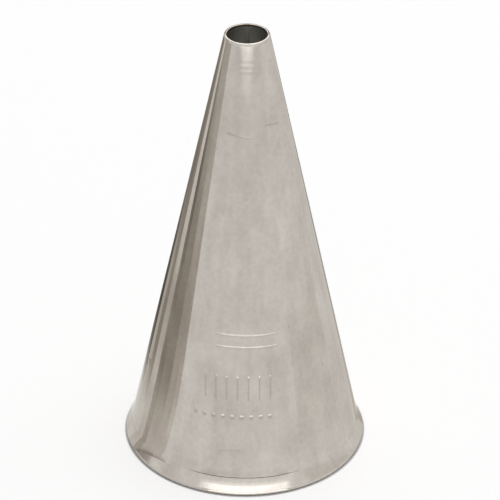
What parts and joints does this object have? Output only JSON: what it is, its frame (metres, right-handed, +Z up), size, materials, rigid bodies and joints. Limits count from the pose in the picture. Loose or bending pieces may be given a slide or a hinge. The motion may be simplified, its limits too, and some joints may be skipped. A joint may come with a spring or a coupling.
{
  "type": "piping nozzle",
  "caption": "Plain round piping nozzle: a welded sheet-steel cone with a folded, burnished rim and a reamed hole in the tip, for icing or choux dough.",
  "frame": {"origin": "centre of the rim's foot, on the plane that the nozzle rests on", "axes": "+Z up the cone's axis from the rim to the hole in the tip, -Y towards the plain front, +Y towards the weld"},
  "size_m": [0.0254, 0.0254, 0.0476],
  "materials": {
    "sheet_steel": "bright stainless steel sheet, tumbled to a soft shine, with fine draw marks and handling scratches",
    "weld_steel": "fusion weld in stainless steel, ground flush outside and left as a low bead inside"
  },
  "bodies": {
    "root": {"cone_shell": "sheet_steel", "seam_weld": "weld_steel"}
  },
  "joints": []
}
